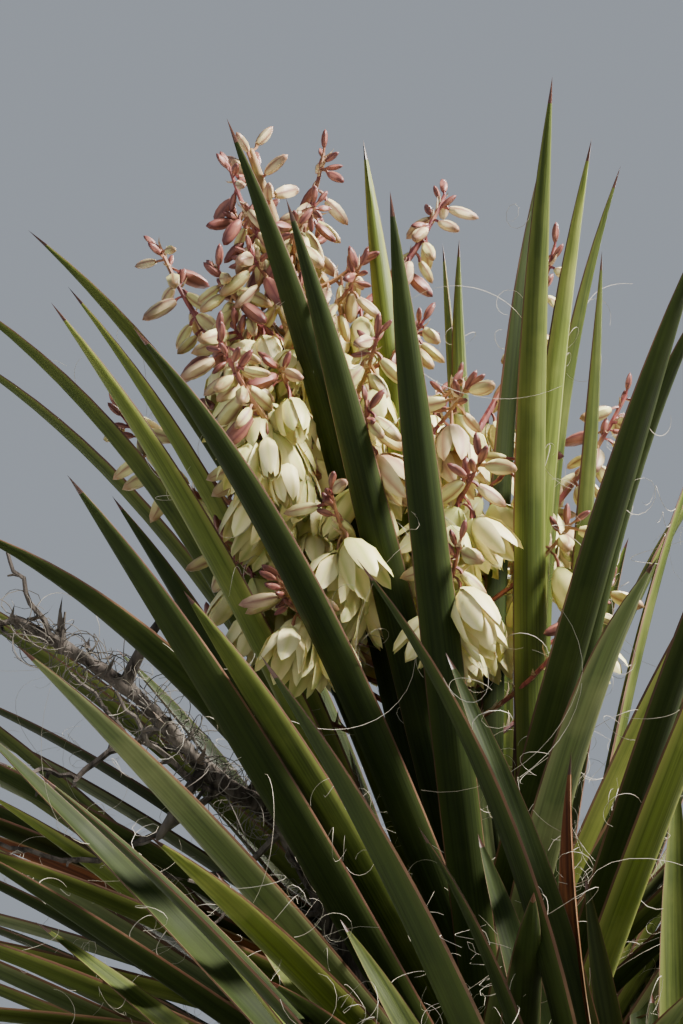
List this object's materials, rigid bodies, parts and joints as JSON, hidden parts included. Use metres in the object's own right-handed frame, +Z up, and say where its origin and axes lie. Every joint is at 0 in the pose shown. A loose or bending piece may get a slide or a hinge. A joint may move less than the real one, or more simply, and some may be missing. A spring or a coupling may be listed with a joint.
{
  "type": "mojave yucca in flower",
  "caption": "Desert yucca on a short forked stem, with heads of stiff spine-tipped leaves that shed curled fibres and a panicle of hanging cream bell flowers.",
  "frame": {"origin": "centre of the flat cut under the trunk, at ground level", "axes": "+Z up; -Y towards the viewer of the picture; +X to the viewer's right"},
  "size_m": [1.1101, 1.3885, 1.2927],
  "materials": {
    "bark": "rough bark of dry leaf bases",
    "leaf": "satin waxy leaf, brown margins",
    "dead_leaf": "dry, matte",
    "stalk": "smooth living stalk",
    "flower": "waxy petals",
    "withered": "weathered grey, dry"
  },
  "bodies": {
    "root": {"bough_lower": "bark", "bough_upper": "bark", "dead_leaves_lower": "dead_leaf", "dead_leaves_upper": "dead_leaf", "flower_branch_01": "flower", "flower_branch_02": "flower", "flower_branch_03": "flower", "flower_branch_04": "flower", "flower_branch_05": "flower", "flower_branch_06": "flower", "flower_branch_07": "flower", "flower_branch_08": "flower", "flower_branch_09": "flower", "flower_branch_10": "flower", "flower_branch_11": "flower", "flower_branch_12": "flower", "flower_stalk": "stalk", "leaf_lower_front_broad": "leaf", "leaf_lower_front_folded": "leaf", "leaf_lower_front_left": "leaf", "leaf_lower_front_near": "leaf", "leaf_lower_front_right": "leaf", "leaf_lower_side_left": "leaf", "leaf_upper_centre_back": "leaf", "leaf_upper_centre_dark": "leaf", "leaf_upper_centre_front": "leaf", "leaf_upper_centre_light": "leaf", "leaf_upper_centre_thin": "leaf", "leaf_upper_left_back": "leaf", "leaf_upper_left_dark": "leaf", "leaf_upper_left_front": "leaf", "leaf_upper_left_high": "leaf", "leaf_upper_left_low": "leaf", "leaf_upper_left_lower": "leaf", "leaf_upper_left_outer_back": "leaf", "leaf_upper_left_short": "leaf", "leaf_upper_left_tall": "leaf", "leaf_upper_right_back": "leaf", "leaf_upper_right_dark": "leaf", "leaf_upper_right_dark_low": "leaf", "leaf_upper_right_fan_high": "leaf", "leaf_upper_right_fan_low": "leaf", "leaf_upper_right_front": "leaf", "leaf_upper_right_low": "leaf", "leaf_upper_right_outer": "leaf", "leaf_upper_right_tallest": "leaf", "leaf_upper_right_thin": "leaf", "old_flower_stalk": "withered", "trunk": "bark", "whorl_lower_1": "leaf", "whorl_lower_2": "leaf", "whorl_lower_3": "leaf", "whorl_lower_4": "leaf", "whorl_upper_1": "leaf", "whorl_upper_2": "leaf", "whorl_upper_3": "leaf", "whorl_upper_4": "leaf", "whorl_upper_5": "leaf", "whorl_upper_6": "leaf", "whorl_upper_7": "leaf"}
  },
  "joints": []
}
